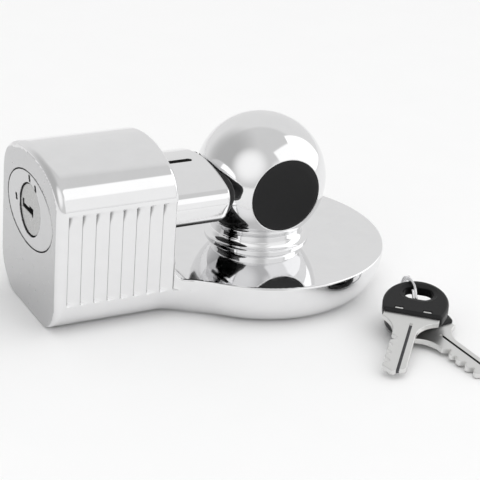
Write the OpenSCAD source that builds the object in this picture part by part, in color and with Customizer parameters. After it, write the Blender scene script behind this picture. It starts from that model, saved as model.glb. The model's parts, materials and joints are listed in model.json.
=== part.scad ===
// Trailer coupler lock: a die-cast, chrome-plated block that carries a coupler
// ball on a round foot plate. The ball goes up into the trailer's coupler, and a
// sliding jaw then closes over the coupler's front lip. A key-turned cam drives
// a bolt down into the jaw's rack and so holds the jaw where it is.
//
// Millimetres, +Z up. The origin is on the ball's axis, on the plane that the
// lock rests on. The lock body lies towards -X, and the key end faces -X.

/* [Ball and foot plate] */
// Diameter of the coupler ball
ball_d = 47; // [46.8:0.1:47.2]
// Height of the ball's centre above the resting plane
ball_z = 38.4; // [38.2:0.1:38.8]
// Diameter of the flat where the ball's cored side is closed
ball_flat_d = 27.2; // [24:0.1:28]
// Radius of the foot plate at its top edge
plate_r = 46.3; // [44:0.1:48]
// Radius of the foot plate's flat underside
plate_foot_r = 36; // [32:0.5:38]
// Thickness of the foot plate
plate_t = 16; // [15.8:0.1:16.2]
// Radius of the neck under the ball
neck_r = 16; // [15:0.1:17]
// Radius of the neck's foot, where it meets the plate
neck_foot_r = 18.8; // [18:0.1:20]

/* [Lock body] */
// X of the key end face
body_x0 = -88; // [-89:0.5:-88]
// Half of the body's width
body_w = 25.5; // [25.5:0.1:26.5]
// Height of the body's crown
body_h = 59.4; // [59:0.1:61]
// Radius of the crown's broad arc
crown_r = 43; // [42:0.5:50]
// Radius of the body's shoulders
shoulder_r = 13; // [11:0.5:14]
// Radius of the body's lower corners
corner_r = 14; // [13:0.5:14]
// Number of upright flutes on each side of the body
flutes = 8; // [6:1:8]
// Distance from one flute to the next
flute_pitch = 4.86; // [4.5:0.01:4.86]
// Depth of a flute at its steep side
flute_depth = 0.8; // [0.5:0.1:1]
// Height of the flutes' lower ends
flute_z0 = 12; // [11:0.5:14]
// Height of the flutes' upper ends
flute_z1 = 45; // [43:0.5:46]

/* [Jaw] */
// X of the jaw's end towards the ball
jaw_x1 = -22.8; // [-23.5:0.1:-22.8]
// Half of the jaw's width
jaw_w = 22.8; // [22:0.1:22.8]
// Height of the jaw's crown
jaw_h = 48.2; // [48:0.1:48.3]
// Height of the jaw's underside above the resting plane
jaw_z0 = 32.7; // [32.6:0.1:32.9]
// How far the jaw slides back into the body, a whole number of rack teeth
jaw_travel = 15; // [12:3:15]

/* [Lock cylinder] */
// Height of the lock cylinder's axis
lock_z = 37.4; // [37.3:0.1:37.5]
// Half width of the oval lock housing
oval_a = 20; // [19.8:0.1:20]
// Half height of the oval lock housing
oval_b = 12.9; // [12.5:0.1:13]
// Radius of the rotating plug
plug_r = 9; // [8.9:0.05:9]
// Number of pin tumblers
tumblers = 4; // [3:1:4]

/* [Keys] */
// Width of a key's moulded head
head_w = 22.8; // [22.6:0.1:22.8]
// Thickness of a key's moulded head
head_t = 4.4; // [4:0.1:4.4]
// Width of a key's blade
blade_w = 8; // [7:0.1:8]
// Thickness of a key's blade
blade_t = 2; // [1.8:0.1:2]
// Distance from the ring hole's centre to the blade's tip
key_reach = 43; // [43:0.1:43.2]

/* [Hidden] */
$fn = 96;
e = 0.1;                                    // how far a cutter runs past a face
fit = 0.05;                                 // radial play of a running fit
gap = 0.3;                                  // play between sliding parts
both = [-1, 1];                             // the two sides, -Y and +Y

// ball and foot
ball_r = ball_d / 2;
flat_r = ball_flat_d / 2;
flat_y = -sqrt(ball_r * ball_r - flat_r * flat_r);
ball_lip = 0.5;                             // plated lip round the ball's plug
core_depth = 16;                            // of the hollow in the ball
plug_skirt = 8;                             // of the ball's plug
edge_z = 14.4;                              // where the plate's side starts to curve in
foot_step = 0.8;                            // height of the neck's foot ring

// lock body
body_x1 = -44.5;                            // face towards the ball
wall_x0 = -50;                              // back of the front wall
well_y = 16;                                // half width of the room under the jaw
channel_x0 = -85.2;                         // back end of the rack's channel
channel_y = 8.2;
channel_z1 = 20.4;
cover_x = [-86, -44.8];
cover_y = 15.2;
cover_z = [0.8, 2.6];
cover_screw_x = [-82.6, -48];
cover_screw_y = 10.5;
cover_screw_r = 1.5;
cover_head = [2.8, 1];                      // radius and height of a screw head
stop_x = -46.4;                             // jaw stop pin
stop_r = 1.1;
stop_z = [46.3, 55.9];

// jaw
jaw_crown_r = 50;
jaw_shoulder_r = 6;
jaw_corner_r = 4;
jaw_x0 = -50.3;
jaw_core_x0 = -46;
jaw_wall = 2.6;
jaw_roof = 3.4;
slot_w = 2.4;                               // stop slot in the jaw's crown
slot_x = [-47.9, -28];
slot_z = 46;
dish_r = ball_r + 1.1;                      // hollow that clears the ball
cap_x = [-27, -23.3];                       // plug that closes the jaw's core
jaw_screw_at = [15.4, 39.5];
jaw_screw_r = 1.45;
jaw_screw_head = [2.6, 1.6];

// rack
rack_pitch = 3;
rack_top = 19.6;
rack_z0 = 9.4;
rack_w = 7.6;
rack_gap = [1.9, 3.4];                      // width and depth between two teeth
leg_x = [-53.5, jaw_x0];
leg_y = [11.4, 14.2];
pad_y1 = 19;
pad_z = [34.6, 43.4];

// lock cylinder
housing_x1 = -69;
plug_x = [body_x0 + 0.4, -71.6];
plug_seat_x = -71.4;
tail_r = 4;
keyway_y = [-2.6, 6.4];
keyway_t = 2.3;
keyway_step = 0.7;                          // how far the wards make it jog
chamber_r = 1.3;
pin_r = 1.22;
tumbler_x0 = -84.5;
tumbler_pitch = 3.3;
key_pin_y = [-8.85, -3];
driver_y = [-13, -plug_r - 0.15];
pin_spring_y = [-18.3, -13.1];
cap_strip_y = -18.4;
cap_strip_x = [-86.6, -72.6];
cap_strip_z = 1.8;
housing_screw_at = [-76.5, 12.4];
housing_screw_z = [2.8, 5.4, 33];
housing_screw_r = 2;
housing_screw_head_r = 3.4;

// cam, bolt and bolt guide
cam_x = [-68.8, -66.9];
cam_hub_r = 5.5;
cam_lobe_r = 2.6;
cam_lobe_reach = 6.4;
cam_screw_r = 1.2;
cam_screw_head = [2.8, 1.2];
bolt_x = [-68.6, -66];
bolt_mid_x = (bolt_x[0] + bolt_x[1]) / 2;
bolt_w = 4.5;
bolt_ear_w = 8.7;
bolt_z = [20, 23.3, 28.4, 31.3];            // tooth tip, base, ears, top
bolt_tooth = 1.1;
guide_x = [housing_x1, -65.7, -64.6];
guide_y = [4.8, 9.1, 11];
guide_z = [21, 22.4, 32.2];
bolt_spring_y = 6.9;

// keys and ring
hole_w = 10.4;
hole_l = 6.8;
head_y = 0.9;                               // how far the head is off the blade's middle
head_flat_x = 12;                           // from the ring hole to the head's flat edge
head_back = 7;                              // from the ring hole to the round edge
head_mid_x = 5;                             // where the head is widest
head_front = 15;                            // reach of the oval that the flat edge cuts off
bow_x = 5;                                  // where the metal starts inside the head
bow_w = 17;
ring_r = 7.4;
wire_t = 1.2;                               // radial thickness of the split ring
wire_b = 1.8;                               // width of its two turns together
ring_at = [34.58, -50.81, 8.14];
ring_turn = 75.3;                           // heading of the ring's plane
ring_tilt = -1.3;                           // lean of the ring out of the upright
key_a = [[33.47, -56.56, 11.04], 228.4, 11.1]; // ring hole's place, heading, dip
key_b = [[30.78, -56.39, 4.07], -82, 4];

function arc(c, r, a0, a1, n = 8) = [for (i = [0:n]) let (a = a0 + (a1 - a0) * i / n) c + r * [cos(a), sin(a)]];
function mirrored(points) = [for (i = [len(points) - 1:-1:0]) [-points[i][0], points[i][1]]];
function span(middle, half) = [middle - half, middle + half];
function ellipse(a, b, n = 64) = [for (i = [0:n - 1]) [a * cos(360 * i / n), b * sin(360 * i / n)]];

// Right half of an arched outline, from the bottom up: flat bottom, round
// corner, upright side, shoulder, and a broad crown tangent to the shoulder.
function arch_half(w, top, z0, crown, shoulder, corner) =
    let (cz = top - crown,
         sz = cz + sqrt(pow(crown - shoulder, 2) - pow(w - shoulder, 2)),
         meet = atan2(sz - cz, w - shoulder))
    concat(arc([w - corner, z0 + corner], corner, -90, 0),
        arc([w - shoulder, sz], shoulder, 0, meet),
        arc([0, cz], crown, meet, 90));

module arch_outline(w, top, z0, crown, shoulder, corner) {
    half = arch_half(w, top, z0, crown, shoulder, corner);
    polygon(concat(half, mirrored(half)));
}
module box(x, y, z) {
    translate([x[0], y[0], z[0]]) cube([x[1] - x[0], y[1] - y[0], z[1] - z[0]]);
}
// Two boxes, at y[0] to y[1] on the +Y side and its mirror image.
module box_pair(x, y, z) {
    box(x, y, z);
    box(x, [-y[1], -y[0]], z);
}
// Extrudes a Y-Z outline along X.
module along_x(x0, x1) {
    translate([x0, 0, 0]) rotate([90, 0, 90]) linear_extrude(x1 - x0) children();
}
module rod_x(x, r, y = 0, z = 0) {
    translate([x[0], y, z]) rotate([0, 90, 0]) cylinder(r = r, h = x[1] - x[0]);
}
module rod_y(y, r, x = 0, z = 0) {
    translate([x, y[1], z]) rotate([90, 0, 0]) cylinder(r = r, h = y[1] - y[0]);
}
module rod_z(z, r, x = 0, y = 0) {
    translate([x, y, z[0]]) cylinder(r = r, h = z[1] - z[0]);
}
// Compression spring standing on Z = 0, with closed ends let into its length.
module coil(r, wire_r, length, turns, steps = 10, sides = 5) {
    n = turns * steps;
    rings = [for (i = [0:n]) let (a = 360 * i / steps, z = wire_r + (length - 2 * wire_r) * i / n)
        for (j = [0:sides - 1]) let (b = 360 * j / sides, q = r + wire_r * cos(b))
            [q * cos(a), q * sin(a), z + wire_r * sin(b)]];
    walls = [for (i = [0:n - 1]) for (j = [0:sides - 1]) let (k = (j + 1) % sides)
        [i * sides + j, (i + 1) * sides + j, (i + 1) * sides + k, i * sides + k]];
    ends = [[for (j = [0:sides - 1]) j], [for (j = [sides - 1:-1:0]) n * sides + j]];
    polyhedron(rings, concat(walls, ends));
}

// ---- casting --------------------------------------------------------------

module body_outline() {
    arch_outline(body_w, body_h, 0, crown_r, shoulder_r, corner_r);
}
module jaw_outline(play = 0) {
    arch_outline(jaw_w + play, jaw_h + play, jaw_z0 - play, jaw_crown_r, jaw_shoulder_r, jaw_corner_r);
}
module housing_outline(play = 0) {
    polygon(ellipse(oval_a + play, oval_b + play));
}
// Foot plate, neck and its flared foot, turned about the ball's axis.
module turned_base() {
    lean = plate_r - plate_foot_r;
    flare = neck_foot_r - neck_r;
    chamfer = 0.6;
    neck_top = ball_z - sqrt(ball_r * ball_r - neck_r * neck_r);
    side = [for (i = [0:8]) let (a = 90 * i / 8)
        [plate_foot_r + lean * sin(a), edge_z * (1 - cos(a))]];
    rotate_extrude() polygon(concat([[0, 0]], side,
        [[plate_r, plate_t - chamfer], [plate_r - chamfer, plate_t], [neck_foot_r, plate_t]],
        arc([neck_foot_r, plate_t + foot_step + flare], flare, 270, 180, 5),
        [[neck_r, neck_top + 0.5], [0, neck_top + 0.5]]));
}
module flute_cutters() {
    for (side = both) for (i = [1:flutes]) {
        x = body_x1 - i * flute_pitch;
        translate([0, 0, flute_z0]) linear_extrude(flute_z1 - flute_z0)
            polygon([[x, side * (body_w - flute_depth)], [x + flute_pitch, side * body_w],
                [x + flute_pitch, side * (body_w + 1)], [x, side * (body_w + 1)]]);
    }
}
module body_cavities() {
    along_x(body_x0 - e, housing_x1) translate([0, lock_z]) housing_outline(fit);
    along_x(housing_x1 - e, body_x1 + e) jaw_outline(gap);
    box([housing_x1, wall_x0], well_y * both, [cover_z[1], jaw_z0]);
    box([channel_x0, wall_x0], channel_y * both, [cover_z[1], channel_z1]);
    box(cover_x + 0.2 * both, (cover_y + 0.2) * both, [-e, cover_z[1]]);
    for (x = cover_screw_x) for (side = both)
        rod_z([0, 8], cover_screw_r + fit, x, side * cover_screw_y);
    rod_z([0, lock_z], housing_screw_r + fit, housing_screw_at[0], housing_screw_at[1]);
    rod_z([0, housing_screw_z[1]], housing_screw_head_r + fit, housing_screw_at[0], housing_screw_at[1]);
    rod_z([jaw_h, 56], stop_r + fit, stop_x);
}
module base_casting() color("silver") difference() {
    union() {
        along_x(body_x0, body_x1) body_outline();
        intersection() {
            along_x(body_x1 - e, -30) body_outline();
            box([-60, 0], [-50, 50], [0, plate_t]);
        }
        turned_base();
        translate([0, 0, ball_z]) sphere(r = ball_r);
    }
    flute_cutters();
    body_cavities();
    rod_y([-ball_r - 1, flat_y], flat_r + 2, 0, ball_z);
    rod_y([flat_y - e, flat_y + core_depth], flat_r - ball_lip, 0, ball_z);
}
// Cup that closes the ball's core, flush with the flat.
module ball_plug() color([0.06, 0.06, 0.07]) {
    r = flat_r - ball_lip - fit;
    face_t = 2.2;
    difference() {
        rod_y([flat_y + 0.05, flat_y + plug_skirt], r, 0, ball_z);
        rod_y([flat_y + face_t, flat_y + plug_skirt + e], r - 1.6, 0, ball_z);
    }
}
module bottom_cover() color("gray") difference() {
    box(cover_x, cover_y * both, cover_z);
    for (x = cover_screw_x) for (side = both) {
        rod_z([0, 3], cover_screw_r + 0.1, x, side * cover_screw_y);
        rod_z([0, cover_z[0] + 0.1 + cover_head[1]], cover_head[0] + 0.1, x, side * cover_screw_y);
    }
}
module cover_screws() color("dimgray") for (x = cover_screw_x) for (side = both) {
    seat = cover_z[0] + 0.1 + cover_head[1];
    difference() {
        rod_z([seat - cover_head[1], seat], cover_head[0], x, side * cover_screw_y);
        translate([x, side * cover_screw_y, 0]) cylinder(r = 1.2, h = 2 * cover_z[0], $fn = 6);
    }
    rod_z([seat - e, 7.8], cover_screw_r, x, side * cover_screw_y);
}
module jaw_stop_pin() color("gray") rod_z(stop_z, stop_r, stop_x);

// ---- lock cylinder --------------------------------------------------------

module tumbler_row() {
    for (i = [0:tumblers - 1]) translate([tumbler_x0 + i * tumbler_pitch, 0, lock_z]) children();
}
// Keyway outline in Y-Z, about the plug's axis: two level runs with a jog.
module keyway_outline() {
    mid = (keyway_y[0] + keyway_y[1]) / 2;
    half = keyway_t / 2;
    polygon([[keyway_y[0], -half], [mid, -half], [mid + keyway_step, -half + keyway_step],
        [keyway_y[1], -half + keyway_step], [keyway_y[1], half + keyway_step],
        [mid, half + keyway_step], [mid - keyway_step, half], [keyway_y[0], half]]);
}
module cap_strip_space(play) {
    box(cap_strip_x + play * both, [-oval_a - 1, cap_strip_y + play],
        [lock_z - cap_strip_z - play, lock_z + cap_strip_z + play]);
}
module lock_housing() color("silver") difference() {
    along_x(body_x0, housing_x1) translate([0, lock_z]) housing_outline();
    rod_x([body_x0 - e, plug_seat_x], plug_r + fit, 0, lock_z);
    rod_x([body_x0, housing_x1 + e], tail_r + fit, 0, lock_z);
    tumbler_row() rod_y([-oval_a, 0], chamber_r);
    cap_strip_space(0);
    rod_z([0, housing_screw_z[2] + 0.2], housing_screw_r + fit, housing_screw_at[0], housing_screw_at[1]);
}
module pin_chamber_cap() color("goldenrod") intersection() {
    cap_strip_space(0);
    along_x(body_x0, housing_x1) translate([0, lock_z]) housing_outline();
}
module driver_pins() color("goldenrod") tumbler_row() rod_y(driver_y, pin_r);
module pin_springs() color("gainsboro") {
    length = pin_spring_y[1] - pin_spring_y[0];
    tumbler_row() translate([0, pin_spring_y[1], 0]) rotate([90, 0, 0]) coil(0.9, 0.2, length, 5);
}
module housing_screw() color("dimgray") translate([housing_screw_at[0], housing_screw_at[1], 0]) {
    difference() {
        rod_z([housing_screw_z[0], housing_screw_z[1]], housing_screw_head_r);
        cylinder(r = 1.5, h = housing_screw_z[0] + 1.4, $fn = 6);
    }
    rod_z([housing_screw_z[1] - e, housing_screw_z[2]], housing_screw_r);
}
module lock_plug() color("gainsboro") difference() {
    union() {
        rod_x(plug_x, plug_r, 0, lock_z);
        rod_x([plug_x[1] - e, cam_x[1]], tail_r, 0, lock_z);
    }
    along_x(plug_x[0] - e, plug_x[1] + 1.4) translate([0, lock_z]) keyway_outline();
    tumbler_row() rod_y([-plug_r - 1, key_pin_y[1] + 0.2], chamber_r);
    rod_x([plug_x[1] + 2, cam_x[1] + e], cam_screw_r, 0, lock_z);
}
module key_pins() color("goldenrod") tumbler_row() rod_y(key_pin_y, pin_r);
module lock_cam() color("gray") difference() {
    union() {
        rod_x(cam_x, cam_hub_r, 0, lock_z);
        rod_x(cam_x, cam_lobe_r, -cam_lobe_reach, lock_z);
        box(cam_x, [-cam_lobe_reach, 0], [lock_z - cam_lobe_r, lock_z + cam_lobe_r]);
    }
    rod_x(cam_x + e * both, tail_r, 0, lock_z);
}
module cam_screw() color("dimgray") {
    difference() {
        rod_x([cam_x[1], cam_x[1] + cam_screw_head[1]], cam_screw_head[0], 0, lock_z);
        box([cam_x[1] + 0.6, cam_x[1] + 2], [-3, 3], [lock_z - 0.4, lock_z + 0.4]);
    }
    rod_x([plug_x[1] + 2.2, cam_x[1] + e], cam_screw_r, 0, lock_z);
}

// ---- bolt -----------------------------------------------------------------

module bolt_guide() color("gray") {
    box_pair([guide_x[0], guide_x[2]], [guide_y[1], guide_y[2]], [guide_z[0], guide_z[2]]);
    box_pair([guide_x[0], guide_x[2]], [guide_y[0], guide_y[2]], [guide_z[0], guide_z[1]]);
    box([guide_x[1], guide_x[2]], guide_y[2] * both, [guide_z[0], guide_z[2]]);
}
module locking_bolt() color("lightsteelblue") {
    box(bolt_x, bolt_w * both, [bolt_z[1], bolt_z[3]]);
    box(bolt_x, bolt_ear_w * both, [bolt_z[2], bolt_z[3]]);
    box(span(bolt_mid_x, bolt_tooth / 2), bolt_w * both, [bolt_z[0], bolt_z[1] + e]);
}
module bolt_springs() color("gainsboro") for (side = both)
    translate([bolt_mid_x, side * bolt_spring_y, guide_z[1]]) coil(1, 0.25, bolt_z[2] - guide_z[1], 5);

// ---- jaw ------------------------------------------------------------------

module jaw_core_outline(play = 0) {
    arch_outline(jaw_w - jaw_wall - play, jaw_h - jaw_roof - play, jaw_z0 + jaw_wall + play,
        jaw_crown_r, 4, 1.5);
}
module sliding_jaw() color("silver") difference() {
    along_x(jaw_x0, jaw_x1) jaw_outline();
    along_x(jaw_core_x0, jaw_x1 + e) jaw_core_outline();
    box(slot_x + [0, -slot_w / 2], slot_w / 2 * both, [slot_z, jaw_h + 1]);
    rod_z([slot_z, jaw_h + 1], slot_w / 2, slot_x[1] - slot_w / 2);
    translate([0, 0, ball_z]) sphere(r = dish_r);
    for (side = both) rod_x([jaw_x0 - e, jaw_core_x0 + e], jaw_screw_r + fit, side * jaw_screw_at[0], jaw_screw_at[1]);
}
module jaw_end_cap() color([0.06, 0.06, 0.07]) difference() {
    along_x(cap_x[0], cap_x[1]) jaw_core_outline(fit);
    translate([0, 0, ball_z]) sphere(r = dish_r);
}
module rack_frame() color("gray") difference() {
    union() {
        box_pair(leg_x, leg_y, [rack_z0, pad_z[1]]);
        box_pair(leg_x, [leg_y[0], pad_y1], pad_z);
        box(leg_x, leg_y[1] * both, [rack_z0, rack_top]);
        box([bolt_mid_x - 2, jaw_x0], rack_w * both, [rack_z0, rack_top]);
    }
    for (i = [0:jaw_travel / rack_pitch]) {
        x = bolt_mid_x + i * rack_pitch;
        box(span(x, rack_gap[0] / 2), (rack_w + e) * both, [rack_top - rack_gap[1], rack_top + e]);
    }
    for (side = both) {
        rod_x(leg_x + e * both, jaw_screw_r + 0.1, side * jaw_screw_at[0], jaw_screw_at[1]);
        rod_x([leg_x[0] - e, leg_x[0] + jaw_screw_head[1]], jaw_screw_head[0] + 0.1,
            side * jaw_screw_at[0], jaw_screw_at[1]);
    }
}
module jaw_screws() color("dimgray") for (side = both) translate([0, side * jaw_screw_at[0], jaw_screw_at[1]]) {
    difference() {
        rod_x([leg_x[0], leg_x[0] + jaw_screw_head[1]], jaw_screw_head[0]);
        rotate([0, 90, 0]) translate([0, 0, leg_x[0] - e]) cylinder(r = 1.2, h = 1, $fn = 6);
    }
    rod_x([leg_x[0] + jaw_screw_head[1] - e, jaw_core_x0 - 0.3], jaw_screw_r);
}

// ---- keys -----------------------------------------------------------------

// Sets a key down: +X along the blade, the ring hole's middle at X = 0.
module place_key(key) {
    translate(key[0]) rotate([0, key[2], key[1]]) children();
}
module ring_hole() translate([0, head_y]) {
    square([hole_l, hole_w - hole_l], center = true);
    for (side = both) translate([0, side * (hole_w - hole_l) / 2]) circle(r = hole_l / 2);
}
// Oval head, cut off straight where the blade comes out.
module head_outline() {
    front = acos((head_flat_x - head_mid_x) / head_front);
    back = [for (i = [0:24]) let (a = 90 + 180 * i / 24)
        [(head_back + head_mid_x) * cos(a), head_w / 2 * sin(a)]];
    low = [for (i = [1:4]) let (a = -90 + (90 - front) * i / 4) [head_front * cos(a), head_w / 2 * sin(a)]];
    high = [for (p = [3:-1:0]) [low[p][0], -low[p][1]]];
    translate([head_mid_x, head_y]) polygon(concat(back, low, high));
}
module bow_outline(play = 0) {
    translate([bow_x - play, head_y - bow_w / 2 - play])
        square([head_flat_x + 1.2 - bow_x + play, bow_w + 2 * play]);
}
module blade_outline() {
    half = blade_w / 2;
    sweep = 9;                              // radius of the hollow shoulders
    neck_x = 22.5;
    shoulder_x = head_flat_x + 0.05;
    shoulder_y = [-8.9, 10.4];
    low_a = 180 - asin((half + sweep + shoulder_y[0]) / sweep);
    high_a = 180 + asin((half + sweep - shoulder_y[1]) / sweep);
    cuts = [2.2, 1.2, 1.7, 1.9];            // depths of the four cuts
    cut_x = 25.3;
    pitch = 4.2;
    cut_points = [for (i = [0:3]) for (s = [-1.5, -0.4, 0.4, 1.5])
        [cut_x + pitch * i + s, -half + (abs(s) < 1 ? cuts[i] : 0.5)]];
    bow_outline();
    polygon(concat([[shoulder_x, shoulder_y[1]], [shoulder_x, shoulder_y[0]]],
        arc([neck_x, -half - sweep], sweep, low_a, 90), cut_points,
        [[key_reach - 2.7, -half + 0.6], [key_reach, -0.2], [key_reach - 2, half]],
        arc([neck_x, half + sweep], sweep, 270, high_a)));
}
module key_blade() difference() {
    groove_x = 16.5;
    translate([0, 0, -blade_t / 2]) linear_extrude(blade_t) blade_outline();
    for (side = both)
        translate([groove_x, 1, side * blade_t / 2 - 0.4]) cube([key_reach - groove_x, 0.9, 0.8]);
}
module key_head() difference() {
    translate([0, 0, -head_t / 2]) linear_extrude(head_t) head_outline();
    translate([0, 0, -head_t]) linear_extrude(2 * head_t) ring_hole();
    translate([0, 0, -blade_t / 2]) linear_extrude(blade_t) bow_outline(0.02);
}
module key_a_blade() color("gainsboro") place_key(key_a) key_blade();
module key_a_head() color([0.06, 0.06, 0.07]) place_key(key_a) key_head();
module key_b_blade() color("gainsboro") place_key(key_b) key_blade();
module key_b_head() color([0.06, 0.06, 0.07]) place_key(key_b) key_head();
module split_ring() color("gainsboro") translate(ring_at) rotate([90 + ring_tilt, 0, ring_turn])
    rotate_extrude() translate([ring_r - wire_t / 2, -wire_b / 2]) square([wire_t, wire_b]);

base_casting();
ball_plug();
lock_housing();
pin_chamber_cap();
driver_pins();
pin_springs();
housing_screw();
bolt_guide();
bolt_springs();
jaw_stop_pin();
bottom_cover();
cover_screws();
sliding_jaw();
jaw_end_cap();
rack_frame();
jaw_screws();
lock_plug();
key_pins();
lock_cam();
cam_screw();
locking_bolt();
split_ring();
key_a_blade();
key_a_head();
key_b_blade();
key_b_head();
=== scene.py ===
"""Trailer coupler lock: chrome casting with ball and foot plate, sliding jaw, lock cylinder and two keys.

Lengths inside the shape functions are millimetres, in the CAD frame: +Z up, origin on the ball's axis on
the resting plane, key end towards -X. Most shapes are signed distance fields, meshed by dual contouring, so
that the polished surfaces are exact and carry true normals. The neck and the ball are turned from an outline,
and the split ring and the bolt springs are swept.
"""

import json
import math

import bmesh
import bpy
import numpy as np
from mathutils import Matrix, Vector


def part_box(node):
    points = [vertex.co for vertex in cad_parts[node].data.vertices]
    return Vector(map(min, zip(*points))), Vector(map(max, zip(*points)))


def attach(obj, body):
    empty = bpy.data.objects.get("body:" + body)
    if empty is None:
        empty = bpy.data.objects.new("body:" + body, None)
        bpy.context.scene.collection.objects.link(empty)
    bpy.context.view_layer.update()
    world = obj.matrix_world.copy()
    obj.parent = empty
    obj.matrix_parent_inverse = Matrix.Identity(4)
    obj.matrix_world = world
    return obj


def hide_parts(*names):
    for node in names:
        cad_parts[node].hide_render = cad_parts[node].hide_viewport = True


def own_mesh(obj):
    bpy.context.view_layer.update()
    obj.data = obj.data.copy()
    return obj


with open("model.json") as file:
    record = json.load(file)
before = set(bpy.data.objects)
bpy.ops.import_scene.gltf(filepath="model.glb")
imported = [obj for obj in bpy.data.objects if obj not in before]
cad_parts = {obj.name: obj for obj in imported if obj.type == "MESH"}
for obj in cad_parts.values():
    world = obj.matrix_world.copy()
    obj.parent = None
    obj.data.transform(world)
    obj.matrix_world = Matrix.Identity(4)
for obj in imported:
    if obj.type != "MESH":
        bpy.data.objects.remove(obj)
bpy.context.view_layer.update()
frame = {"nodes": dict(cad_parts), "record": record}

MM = 0.001
hypot, least, most = np.hypot, np.minimum, np.maximum


def box_mm(node):
    """Lowest and highest corner of a CAD node, in millimetres."""
    lo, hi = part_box(node)
    return np.array(lo) / MM, np.array(hi) / MM


# ---- driving sizes, from the CAD frame where it gives them ------------------

CAST_LO, CAST_HI = box_mm("base_casting")
JAW_LO, JAW_HI = box_mm("sliding_jaw")
PLUG_LO, PLUG_HI = box_mm("lock_plug")
BALL_PLUG_LO, BALL_PLUG_HI = box_mm("ball_plug")
OVAL_LO, OVAL_HI = box_mm("lock_housing")

PLATE_R = CAST_HI[0]  # foot plate, neck and ball
PLATE_FOOT_R = 36.0
PLATE_T = 16.0
PLATE_EDGE_Z = 14.4
PLATE_EDGE_R = 0.7
NECK_R = 16.0
NECK_FOOT_R = 18.8
FOOT_STEP = 0.8
BALL_R = 23.5
BALL_Z = CAST_HI[2] - BALL_R
FLAT_R = 13.6
FLAT_Y = -math.sqrt(BALL_R**2 - FLAT_R**2)
CORE_R = FLAT_R - 0.35

KEY_END_X = CAST_LO[0]  # lock body
FRONT_X = -44.5
BODY_W = 25.5
BODY_TOP = 59.4
BODY_REACH_X = -15.0  # the body's outline runs on into the plate as far as this
WAIST_R, STEP_R = 8.0, 3.2  # fillets from the body into the plate: in plan, and up the front face
CROWN_R, SHOULDER_R, CORNER_R = 43.0, 13.0, 14.0
COVER_SCREWS = [(x, y) for x in (-82.6, -48.0) for y in (-10.5, 10.5)]
COVER_POCKET_X, COVER_POCKET_Y, COVER_POCKET_Z = (-86.2, -44.6), 15.4, 2.6
WELL_X1, WELL_Y, WELL_TOP = -50.0, 16.0, 36.0  # hollow for the mechanism, between the housing and the jaw
CHANNEL_X0, CHANNEL_Y, CHANNEL_TOP = -85.2, 8.2, 20.4  # and on under the housing
FLUTES = 8.2  # eight whole flutes, and the start of a ninth that the front edge cuts off
FLUTE_PITCH, FLUTE_DEPTH = 4.86, 0.8
FLUTE_START_X = FRONT_X - FLUTES * FLUTE_PITCH
FLUTE_Z = (12.0, 45.0)

LOCK_Z = 37.4  # lock cylinder
OVAL_A, OVAL_B = OVAL_HI[1], 12.9
OVAL_GAP = 0.34  # the recess round the housing is this much larger than the oval
HOUSING_X1 = OVAL_HI[0]
PLUG_R = 9.0
PLUG_CORE_X1, KEYWAY_X1 = -71.6, -71.0
INDEX_MARKS = ((0.75, 11.2), (-4.7, 9.5), (12.1, 0.15))  # Y and Z of the dashes, from the plug's axis

JAW_CROWN_R, JAW_SHOULDER_R, JAW_CORNER_R = 50.0, 6.0, 4.0  # jaw
JAW_WALL, JAW_ROOF, JAW_HOLLOW_X0 = 2.6, 3.4, -46.0
MOUTH_WALL, LID_WALL = 1.2, 1.3  # how far the jaw's mouth and the cap's lid lie inside its outline
CAP_REACH = 3.4
BUMPER_X = (-27.0, JAW_HI[0] + CAP_REACH)
SLOT_X, SLOT_R, SLOT_FLOOR = (-47.9, -28.0), 1.3, 46.0
DISH_R = BALL_R + 1.1

HEAD_FLAT_X, HEAD_BACK, HEAD_W, HEAD_T = 12.0, 7.0, 22.8, 4.4  # keys, with the ring hole at X = 0
HEAD_Y, HEAD_MID_X, HEAD_FRONT = 0.9, 5.0, 15.0
BOW = ((5.0, 12.0), 8.5)  # metal inside the head: limits of X, and half its width
HOLE = (6.8, 10.4)
WINDOW = ((9.7, 10.8), (3.3, 6.5))  # windows in the head: limits of X, and of Y on each side of its middle
PAD = ((9.9, 10.6), (3.5, 6.3))  # metal that fills a window
BLADE_W, BLADE_T, KEY_REACH = 8.0, 2.0, 43.0
GROOVE_X0, GROOVE_Y, GROOVE_HALF = 16.5, 1.45, 0.5
SHOULDER_SWEEP, SHOULDER_Y, NECK_X = 9.0, (-8.9, 10.4), 22.5
CUTS = ((25.3, 2.2), (29.5, 1.2), (33.7, 1.7), (37.9, 1.9))  # place and depth
KEY_A = ((33.47, -56.56, 11.04), 228.4, 11.1)  # ring hole's place, heading and dip
KEY_B = ((30.78, -56.39, 4.07), -82, 4)
RING_AT, RING_TURN, RING_TILT = (34.58, -50.81, 8.14), 75.3, -1.3
RING_R, WIRE_T, WIRE_B = 7.4, 1.2, 1.8


# ---- distance fields --------------------------------------------------------


def join(a, b, r):
    """Union with a concave fillet of radius r."""
    return most(r, least(a, b)) - hypot(most(r - a, 0), most(r - b, 0))


def cut(a, b, r):
    """Intersection with its edge rounded to radius r."""
    return least(-r, most(a, b)) + hypot(most(a + r, 0), most(b + r, 0))


def block(x, y, z, xs, ys, zs, r=0.0):
    """Box between the given pairs of limits, with edges rounded to radius r."""
    q = [abs(v - (a + b) / 2) - (b - a) / 2 + r for v, (a, b) in ((x, xs), (y, ys), (z, zs))]
    outside = np.sqrt(most(q[0], 0) ** 2 + most(q[1], 0) ** 2 + most(q[2], 0) ** 2)
    return outside + least(most(most(q[0], q[1]), q[2]), 0) - r


def ellipse(u, v, a, b):
    """Distance to an ellipse, exact to first order near its edge."""
    k0 = hypot(u / a, v / b)
    k1 = hypot(u / a**2, v / b**2)
    return k0 * (k0 - 1) / most(k1, 1e-6)


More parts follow.
